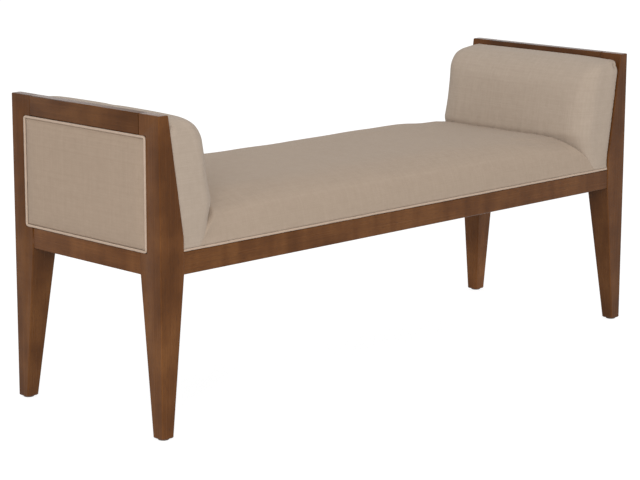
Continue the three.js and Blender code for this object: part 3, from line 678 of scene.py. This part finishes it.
def add_arm(side, end, seed, lift, droop):
    """One arm pad. end is -1 at the left end of the bench and 1 at the right end. No two are stuffed
    quite alike: lift raises the top of the pad, and droop lowers its front."""
    pad = finer(swell(arm_form, arm_slack, arm_pressure))
    free = from_border(pad, arm_held)
    high = np.clip((pad[..., 2] - stuffed_from) / (arm_top - stuffed_from), 0, 1) ** 2
    stuffed = pad[..., 2] + high * (lift - droop * np.maximum(0, -pad[..., 1] / arm_half) ** 4)
    pad[..., 0] += post_slope(stuffed) - post_slope(pad[..., 2])
    pad[..., 2] = stuffed
    ahead = np.clip(-pad[..., 1] / arm_half, 0, 1) ** 2
    inward = np.clip((pad[..., 0] - post_slope(stuffed)) / roll_depth, 0, 1)
    pad[..., 0] -= roll_back * np.clip((stuffed - roll_from) / roll_height, 0, 1) * ahead * inward
    inside, y, z = pad[..., 0], pad[..., 1], pad[..., 2]
    above = np.maximum(0, z - seat_line)
    pucker = np.sin(y * 142 + seed) + 0.7 * np.sin(y * 231 + 2.3 * seed)
    pucker *= np.exp(-above / pucker_reach)
    drift = np.sin(y * 17 + seed) * np.sin(z * 24 + seed) + 0.6 * np.sin(y * 33 - z * 29 + 2 * seed)
    pad = pad + grid_normals(pad) * ((pucker_height * pucker + arm_drift * drift) * free)[..., None]
    at_post = np.exp(-((inside - post_slope(z) - tuck_in) ** 2 + (z - tuck_z) ** 2) / tuck_radius ** 2)
    pad[..., 1] -= np.sign(y) * tuck_depth * at_post * (np.abs(y) > tuck_side)
    pad[..., 1] += np.sign(y) * lip(z, arm_low) * (np.abs(y) > lip_side)
    pad[..., 2] = np.maximum(z, arm_low)
    skirt = pad[:1].copy()
    skirt[..., 1] = np.clip(skirt[..., 1], -deck_side, deck_side)
    floor = skirt.copy()
    floor[..., 2] = deck_top
    whole = np.concatenate([floor, skirt, pad])
    ring_length = arc_lengths(pad[level_row])
    height = arc_lengths(whole[:, whole.shape[1] // 2])
    flat = np.stack(np.meshgrid(ring_length, height), axis=-1)
    rows, columns = whole.shape[:2]
    whole[..., 0] = end * (HALF_LENGTH - whole[..., 0])
    sole = list(range(columns))
    back = (
        [row * columns for row in range(rows)]
        + [(rows - 1) * columns + column for column in range(1, columns)]
        + [row * columns + columns - 1 for row in range(rows - 2, -1, -1)]
    )
    # The arm linen is painted lighter and less yellow than the seat: painted light for how the light falls
    # on the arms.
    arm_linen = linen(side + "_arm_linen", tint_and_painted_light=(1.05, 1.09, 1.14))
    arm = cloth_mesh(side + "_arm_pad", whole, flat, arm_linen, [sole, back])
    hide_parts(side + "_arm_cover", side + "_arm_foam", side + "_arm_board")
    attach(arm, "root")


add_arm("left", -1, 0.8, 0.0015, 0.0)
add_arm("right", 1, 2.9, -0.0022, 0.005)


# End panels
# A thin padded panel in the same linen, made up on its own board and pressed into the rebate
# of each end, so that its crown stands a little proud of the wood.
panel_least, panel_most = corners("right_panel_cover")
panel_half, panel_tall = panel_most.y, (panel_most.z - panel_least.z) / 2
panel_middle = (panel_least.z + panel_most.z) / 2
panel_crown, panel_back = panel_most.x - HALF_LENGTH, HALF_LENGTH - panel_least.x
panel_corner, crown_run, groove_depth, groove_width = 0.004, 0.055, 0.0014, 0.0040
panel_slack, panel_pressure, panel_held, ripple_height = 0.0012, 1.2, 0.02, 0.00022
rim_lines, panel_spacing = np.array([0.0, 0.0012, 0.0026, 0.0045, 0.007, 0.0105, 0.015]), 0.0035


def panel_lines(half):
    """Lines across the panel, closer together along its edges."""
    inner = half - rim_lines[-1]
    between = np.linspace(inner, -inner, int(half / panel_spacing))[1:-1]
    return np.concatenate([half - rim_lines, between, rim_lines[::-1] - half])[::-1]


def add_panel(side, end, seed):
    y, z = np.meshgrid(panel_lines(panel_half), panel_lines(panel_tall))
    beyond_y = np.maximum(0, np.abs(y) - (panel_half - panel_corner))
    beyond_z = np.maximum(0, np.abs(z) - (panel_tall - panel_corner))
    square = np.maximum(beyond_y, beyond_z)
    disc = np.maximum(np.hypot(beyond_y, beyond_z), 1e-9)
    shrink = np.where(square > 0, square / disc, 1.0)
    y = np.sign(y) * (np.abs(y) - beyond_y * (1 - shrink))
    z = np.sign(z) * (np.abs(z) - beyond_z * (1 - shrink))
    inset = np.minimum(panel_half - np.abs(y), panel_tall - np.abs(z))
    crown = panel_crown * (1 - (1 - np.clip(inset / crown_run, 0, 1)) ** 3)
    groove = groove_depth * np.maximum(0, 1 - inset / groove_width) ** 2
    pad = np.stack([end * (HALF_LENGTH + crown - groove), y * end, z + panel_middle], axis=-1)
    pad = finer(swell(pad, panel_slack, panel_pressure))
    y, z = pad[..., 1], pad[..., 2]
    ripple = np.sin(y * 27 + seed) * np.sin(z * 31 + seed) + 0.6 * np.sin(y * 43 + z * 57 + seed)
    pad[..., 0] += end * ripple_height * ripple * from_border(pad, panel_held)
    rows, columns = pad.shape[:2]
    ring = (
        list(range(columns))
        + [row * columns + columns - 1 for row in range(1, rows)]
        + [(rows - 1) * columns + column for column in range(columns - 2, -1, -1)]
        + [row * columns for row in range(rows - 2, 0, -1)]
    )
    flat = np.stack([pad[..., 1], pad[..., 2]], axis=-1).reshape(-1, 2)
    rim = pad.reshape(-1, 3)[ring].copy()
    rim[:, 0] = end * (HALF_LENGTH - panel_back)
    points = np.concatenate([pad.reshape(-1, 3), rim])
    first, count = rows * columns, len(ring)
    faces = grid_faces(rows, columns).tolist()
    for i in range(count):
        following = (i + 1) % count
        faces.append([ring[i], first + i, first + following, ring[following]])
    faces.append(list(range(first, first + count)))
    lengths = np.concatenate([flat, flat[ring]])
    # The end linen is painted darker and warmer than the arms: painted shade on the ends of the bench.
    panel_linen = linen(side + "_end_linen", tint_and_painted_light=(0.96, 0.93, 0.91))
    panel = cloth_mesh(side + "_end_pad", points[None], lengths[None], panel_linen, faces)
    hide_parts(side + "_panel_cover", side + "_panel_foam", side + "_panel_board")
    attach(panel, "root")


add_panel("left", -1, 1.3)
add_panel("right", 1, 4.2)


# Piping
# Cotton cord in a strip of linen cut on the bias. One length runs along each seat rail from
# post to post, and a closed ring lies in the rebate round each end panel.
welt_low, welt_high = corners("front_welt")
cord_radius, cord_sides = (welt_high.z - welt_low.z) / 2, 14
piping_linen = linen("piping_linen", math.pi / 4, (1.24, 1.22, 1.24))


def piping(name, line, sideways, closed, *nodes):
    """A covered cord along a line of points, a little uneven in thickness."""
    count = len(line)
    along = np.roll(line, -1, axis=0) - np.roll(line, 1, axis=0)
    if not closed:
        along[0], along[-1] = line[1] - line[0], line[-1] - line[-2]
    along /= np.linalg.norm(along, axis=1, keepdims=True)
    length = arc_lengths(line)
    wobble = 1 + 0.025 * np.sin(length * 190 + 0.4) + 0.018 * np.sin(length * 431 + 1.9) - 0.02
    turn = np.linspace(0, 2 * math.pi, cord_sides, endpoint=False)
    points = np.concatenate([
        centre + cord_radius * thick * (np.outer(np.cos(turn), sideways) + np.outer(np.sin(turn), out))
        for centre, thick, out in zip(line, wobble, np.cross(along, sideways))
    ]).tolist()
    girth = np.linspace(0, 2 * math.pi * cord_radius, cord_sides + 1)
    faces, flat = [], []
    for i in range(count if closed else count - 1):
        here, there = i * cord_sides, (i + 1) % count * cord_sides
        start = length[i]
        stop = start + np.linalg.norm(line[(i + 1) % count] - line[i])
        for side in range(cord_sides):
            other = (side + 1) % cord_sides
            low, high = girth[side], girth[side + 1]
            faces.append((here + side, there + side, there + other, here + other))
            flat += [(start, low), (stop, low), (stop, high), (start, high)]
    if not closed:
        for ring, face in ((0, range(cord_sides)), (count - 1, range(cord_sides - 1, -1, -1))):
            faces.append(tuple(ring * cord_sides + side for side in face))
            flat += [(0.0, 0.0)] * cord_sides
    mesh = bpy.data.meshes.new(name)
    mesh.from_pydata(points, [], faces)
    mesh.uv_layers.new(name="cloth").data.foreach_set("uv", np.array(flat, np.float32).ravel())
    work = bmesh.new()
    work.from_mesh(mesh)
    bmesh.ops.recalc_face_normals(work, faces=work.faces)
    work.to_mesh(mesh)
    work.free()
    mesh.shade_smooth()
    cord = new_piece(name, mesh, piping_linen)
    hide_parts(*nodes)
    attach(cord, "root")


waver, rail_stations, ring_stations = 0.00012, 460, 400
for side, face in (("front", -1), ("rear", 1)):
    low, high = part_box(side + "_welt")
    stations = np.linspace(low.x, high.x, rail_stations)
    line = np.column_stack([
        stations,
        (low.y + high.y) / 2 + face * waver * np.sin(stations * 61),
        (low.z + high.z) / 2 + waver * np.sin(stations * 47 + 1.0),
    ])
    piping(side + "_piping", line, np.array([0.0, 0.0, 1.0]), False, side + "_welt")

for side, end in (("left", -1), ("right", 1)):
    low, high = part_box(side + "_panel_welt")
    straight = (high.y - low.y) / 2 - cord_radius - panel_corner
    bottom, top = low.z + cord_radius + panel_corner, high.z - cord_radius - panel_corner
    ring = []
    for centre_y, centre_z, start in (
        (straight, bottom, -90), (straight, top, 0), (-straight, top, 90), (-straight, bottom, 180),
    ):
        for degrees in range(start, start + 91, 15):
            angle = math.radians(degrees)
            ring.append((
                centre_y + panel_corner * math.cos(angle), centre_z + panel_corner * math.sin(angle)
            ))
    ring = np.array(ring + ring[:1])
    travelled = arc_lengths(ring)
    even = np.linspace(0, travelled[-1], ring_stations + 1)[:-1]
    line = np.column_stack([
        np.full(ring_stations, end * HALF_LENGTH),
        np.interp(even, travelled, ring[:, 0]),
        np.interp(even, travelled, ring[:, 1]),
    ])
    piping(side + "_end_piping", line, np.array([float(end), 0.0, 0.0]), True, side + "_panel_welt")


# Dust cover
# Black non-woven cloth stapled to the undersides of the rails, notched round the posts. It
# sags a little between the rails, and its staples sit in a row along every edge.
def cambric():
    finish, tree, cloth = new_finish("black_cambric")
    place = on_piece(tree)
    fibres = noise(tree, place, 900.0, 5.0, Roughness=0.7)
    dots = add_node(tree, "ShaderNodeTexVoronoi", {"Vector": place, "Scale": 420.0}).outputs["Distance"]
    coat(tree, cloth, fibres, [(0.30, (0.010, 0.0095, 0.009)), (0.75, (0.036, 0.034, 0.032))], 0.80, 0.96)
    height = calculate(tree, "MULTIPLY_ADD", fibres, 0.6, dots)
    relief = add_node(tree, "ShaderNodeBump", {"Height": height, "Strength": 0.4, "Distance": 0.0003})
    tree.links.new(relief.outputs[0], cloth.inputs["Normal"])
    return finish


dust_low, dust_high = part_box("dust_cover")
dust_z, dust_thickness = (dust_low.z + dust_high.z) / 2, 0.0004
notch_room, rail_edge = 0.008, 0.002
notch_x = post_inside - notch_room
notch_y = corners("rear_right_post")[0].y - notch_room
free_x = corners("right_end_rail")[0].x - rail_edge
free_y = corners("rear_rail")[0].y - rail_edge
sag_depth, sag_run, crimp_height, crimp_reach = 0.006, 0.10, 0.0005, 0.03


def sheet_lines(notch, edge, count):
    """Lines across the sheet from edge to edge, with one along each side of a notch."""
    outside = np.linspace(notch, edge, 5)
    return np.unique(np.round(np.concatenate([np.linspace(-notch, notch, count), outside, -outside]), 6))


dust_x, dust_y = sheet_lines(notch_x, dust_high.x, 91), sheet_lines(notch_y, dust_high.y, 23)
x, y = np.meshgrid(dust_x, dust_y)
slack = np.clip((free_y - np.abs(y)) / free_y, 0, 1) * np.clip((free_x - np.abs(x)) / sag_run, 0, 1)
waves = 1 + 0.15 * np.sin(x * 14) + 0.1 * np.sin(x * 33 + y * 21)
sag = sag_depth * np.sin(slack * math.pi / 2) * waves
crimp = crimp_height * np.sin(x * 105) * np.exp(-np.maximum(0, free_y - np.abs(y)) / crimp_reach)
crimp *= np.abs(y) < free_y
dust_points = np.stack([x, y, dust_z - sag + crimp], axis=-1).reshape(-1, 3)
kept = []
for face in grid_faces(len(dust_y), len(dust_x)).tolist():
    centre = dust_points[face].mean(axis=0)
    if abs(centre[0]) < notch_x or abs(centre[1]) < notch_y:
        kept.append(face)
dust_mesh = bpy.data.meshes.new("dust_sheet")
dust_mesh.from_pydata(dust_points.tolist(), [], kept)
work = bmesh.new()
work.from_mesh(dust_mesh)
bmesh.ops.delete(work, geom=[vertex for vertex in work.verts if not vertex.link_faces], context="VERTS")
work.to_mesh(dust_mesh)
work.free()
dust_mesh.shade_smooth()
dust_sheet = new_piece("dust_sheet", dust_mesh, cambric())
thick = dust_sheet.modifiers.new("thick", "SOLIDIFY")
thick.thickness = dust_thickness
thick.offset = 0.0
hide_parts("dust_cover")
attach(dust_sheet, "root")


def staple_rows():
    """Staples along each edge of a route, one about every Spacing, none quite in line with the next."""
    group = bpy.data.node_groups.new("staple_rows", "GeometryNodeTree")
    group.interface.new_socket("Route", in_out="INPUT", socket_type="NodeSocketGeometry")
    for label in ("Spacing", "Crown", "Wire"):
        group.interface.new_socket(label, in_out="INPUT", socket_type="NodeSocketFloat")
    group.interface.new_socket("Finish", in_out="INPUT", socket_type="NodeSocketMaterial")
    group.interface.new_socket("Staples", in_out="OUTPUT", socket_type="NodeSocketGeometry")
    given = add_node(group, "NodeGroupInput").outputs
    route = add_node(group, "GeometryNodeMeshToCurve", {"Mesh": given["Route"]}).outputs[0]
    stations = add_node(
        group, "GeometryNodeResampleCurve", {"Curve": route, "Length": given["Spacing"]}, mode="LENGTH"
    ).outputs[0]
    wire = add_node(group, "GeometryNodeMeshCylinder", {
        "Vertices": 8, "Radius": given["Wire"], "Depth": given["Crown"],
    }).outputs["Mesh"]
    askew = add_node(
        group, "FunctionNodeRandomValue", {0: (-0.15, -0.15, 0.0), 1: (0.15, 0.15, 0.0), "Seed": 4},
        data_type="FLOAT_VECTOR",
    ).outputs[0]
    tangent = add_node(group, "GeometryNodeInputTangent").outputs[0]
    heading = add_node(group, "ShaderNodeVectorMath", {0: tangent, 1: askew}).outputs[0]
    turned = add_node(group, "FunctionNodeAlignRotationToVector", {"Vector": heading}, axis="Z").outputs[0]
    driven = add_node(
        group, "GeometryNodeInstanceOnPoints", {"Points": stations, "Instance": wire, "Rotation": turned}
    ).outputs[0]
    solid = add_node(group, "GeometryNodeRealizeInstances", {0: driven}).outputs[0]
    plated = add_node(group, "GeometryNodeSetMaterial", {0: solid, "Material": given["Finish"]}).outputs[0]
    add_node(group, "NodeGroupOutput", {0: plated})
    return group


staple_x, staple_y, staple_z = 0.7305, 0.219, dust_z - dust_thickness
row_x, row_y = 0.665, 0.155
route = []
for face in (-1, 1):
    route += [(-row_x, face * staple_y, staple_z), (row_x, face * staple_y, staple_z)]
    route += [(face * staple_x, -row_y, staple_z), (face * staple_x, row_y, staple_z)]
route_mesh = bpy.data.meshes.new("staple_route")
route_mesh.from_pydata(route, [(0, 1), (2, 3), (4, 5), (6, 7)], [])
staples = new_piece("dust_staples", route_mesh, zinc)
rows = staples.modifiers.new("rows", "NODES")
rows.node_group = staple_rows()
settings = {"Spacing": 0.060, "Crown": 0.010, "Wire": 0.00035, "Finish": zinc}
for socket in rows.node_group.interface.items_tree:
    if socket.name in settings:
        rows[socket.identifier] = settings[socket.name]
driven = staples.evaluated_get(bpy.context.evaluated_depsgraph_get())
staple_mesh = bpy.data.meshes.new_from_object(driven)
staples.modifiers.remove(rows)
staples.data = staple_mesh
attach(staples, "root")


# Glides
# A round nylon glide is nailed up into each foot and keeps its end grain off the floor. It is
# moulded in a brown close to the stain of the wood.
def brown_nylon():
    finish, tree, surface = new_finish("brown_nylon")
    scuff = noise(tree, on_piece(tree), 260.0, 4.0)
    coat(tree, surface, scuff, [(0.3, (0.045, 0.019, 0.008)), (0.7, (0.080, 0.034, 0.014))], 0.42, 0.62)
    return finish


nylon = brown_nylon()
for corner in post_tones:
    refinish(corner + "_glide", nylon)


# Studio
# A plain white floor under soft light from above and in front, and a long lens at the height
# of the photograph. The floor shows white to the camera and still takes the bench's shadow.
def seen_directly(tree):
    """1 for the camera, also by way of a mirror or a pane, and 0 for light that bounces."""
    ray = add_node(tree, "ShaderNodeLightPath").outputs
    seen = calculate(tree, "MAXIMUM", ray["Is Camera Ray"], ray["Is Glossy Ray"])
    return calculate(tree, "MAXIMUM", seen, ray["Is Transmission Ray"])


floor_finish, tree, plain_shader = new_finish("white_floor")
tree.nodes.remove(plain_shader)
bounce = add_node(tree, "ShaderNodeBsdfDiffuse", {"Color": (0.78, 0.78, 0.78, 1.0)}).outputs[0]
shaded = add_node(tree, "ShaderNodeBsdfDiffuse", {"Color": (0.30, 0.30, 0.30, 1.0)}).outputs[0]
glow = {"Color": (1.0, 1.0, 1.0, 1.0), "Strength": 0.86}
white = add_node(tree, "ShaderNodeEmission", glow).outputs[0]
bright = add_node(tree, "ShaderNodeAddShader", {0: shaded, 1: white}).outputs[0]
shown = add_node(tree, "ShaderNodeMixShader", {0: seen_directly(tree), 1: bounce, 2: bright}).outputs[0]
from_below = add_node(tree, "ShaderNodeNewGeometry").outputs["Backfacing"]
clear = add_node(tree, "ShaderNodeBsdfTransparent").outputs[0]
floor_shader = add_node(tree, "ShaderNodeMixShader", {0: from_below, 1: shown, 2: clear}).outputs[0]
tree.links.new(floor_shader, tree.nodes["Material Output"].inputs["Surface"])
floor_half = 30
floor_corners = [(x * floor_half, y * floor_half, 0) for x, y in ((-1, -1), (1, -1), (1, 1), (-1, 1))]
floor_mesh = bpy.data.meshes.new("floor")
floor_mesh.from_pydata(floor_corners, [], [(0, 1, 2, 3)])
new_piece("floor", floor_mesh, floor_finish)

world = bpy.data.worlds.new("studio")
bpy.context.scene.world = world
world.use_nodes = True
tree = world.node_tree
backdrop = tree.nodes["Background"]
tree.links.new(spread(tree, seen_directly(tree), 0.69, 1.0), backdrop.inputs["Strength"])
backdrop.inputs["Color"].default_value = (1.0, 1.0, 1.0, 1.0)


def soft_box(name, place, aim, size, power):
    lamp = bpy.data.lights.new(name, "AREA")
    lamp.shape = "RECTANGLE"
    lamp.size, lamp.size_y = size
    lamp.energy = power
    box = bpy.data.objects.new(name, lamp)
    bpy.context.scene.collection.objects.link(box)
    box.location = place
    box.rotation_euler = (Vector(aim) - Vector(place)).to_track_quat("-Z", "Y").to_euler()


soft_box("overhead_box", (-0.4, -0.6, 3.2), (0.0, 0.0, 0.4), (3.0, 2.4), 4.0)
soft_box("front_box", (-5.3, -5.9, 3.4), (0.0, 0.0, 0.4), (5.2, 4.0), 320.0)

stand = (-3.46694, -3.40664, 1.28667)
yaw, pitch, roll = math.radians(44.938), math.radians(11.799), math.radians(0.184)
ahead = Vector((math.sin(yaw) * math.cos(pitch), math.cos(yaw) * math.cos(pitch), -math.sin(pitch)))
level = Vector((math.cos(yaw), -math.sin(yaw), 0.0))
upward = level.cross(ahead)
right = level * math.cos(roll) + upward * math.sin(roll)
top = upward * math.cos(roll) - level * math.sin(roll)
photo_width, focal_pixels = 640, 2154.03
lens = bpy.data.cameras.new("camera")
lens.sensor_width = 36.0
lens.lens = focal_pixels / photo_width * lens.sensor_width
camera = bpy.data.objects.new("camera", lens)
bpy.context.scene.collection.objects.link(camera)
turned = Matrix((right, top, -ahead)).transposed().to_4x4()
camera.matrix_world = Matrix.Translation(stand) @ turned
bpy.context.scene.camera = camera
bpy.context.scene.view_settings.view_transform = "Standard"
